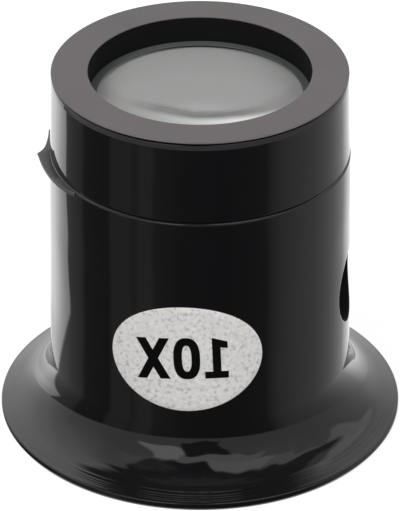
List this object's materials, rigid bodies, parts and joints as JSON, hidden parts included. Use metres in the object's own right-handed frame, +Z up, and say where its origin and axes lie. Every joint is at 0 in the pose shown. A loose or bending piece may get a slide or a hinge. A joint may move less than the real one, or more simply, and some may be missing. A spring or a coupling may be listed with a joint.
{
  "type": "watchmaker loupe",
  "caption": "Eye loupe with a flared eyecup barrel, a pull-off head holding a pair of plano-convex lenses, and a matte screwed front ring.",
  "frame": {"origin": "on the optical axis, in the plane of the eyecup's lip, which is the face the loupe stands on", "axes": "+Z up the optical axis from the eye to the front ring; -Y towards the label; +X towards the vent hole, which is turned 2.5 degrees from it towards the label"},
  "size_m": [0.037, 0.037, 0.035],
  "materials": {
    "gloss_black_barrel": "polished moulded ABS, black",
    "gloss_black_head": "polished moulded ABS, black",
    "matte_ring": "spark-eroded matte ABS, black, with a fine grain",
    "black_bezel": "satin black ABS",
    "lens_glass": "polished clear crown glass",
    "matte_spacer": "matte black ABS",
    "label_foil": "silver-grey printed vinyl, finely speckled"
  },
  "bodies": {
    "eyecup": {"eyecup_barrel": "gloss_black_barrel", "magnification_label": "label_foil"},
    "head": {"head_shell": "gloss_black_head", "lens_bezel": "black_bezel", "front_lens": "lens_glass", "lens_spacer": "matte_spacer", "rear_lens": "lens_glass"},
    "ring": {"front_ring": "matte_ring"}
  },
  "joints": [
    {"name": "head_pull", "type": "slide", "parent": "eyecup", "child": "head", "axis": [0, 0, 1], "range_m": [0, 0.016]},
    {"name": "ring_turn", "type": "hinge", "parent": "head", "child": "ring", "pos_m": [0, 0, 0.034], "axis": [0, 0, 1], "range_deg": [0, 720]}
  ]
}
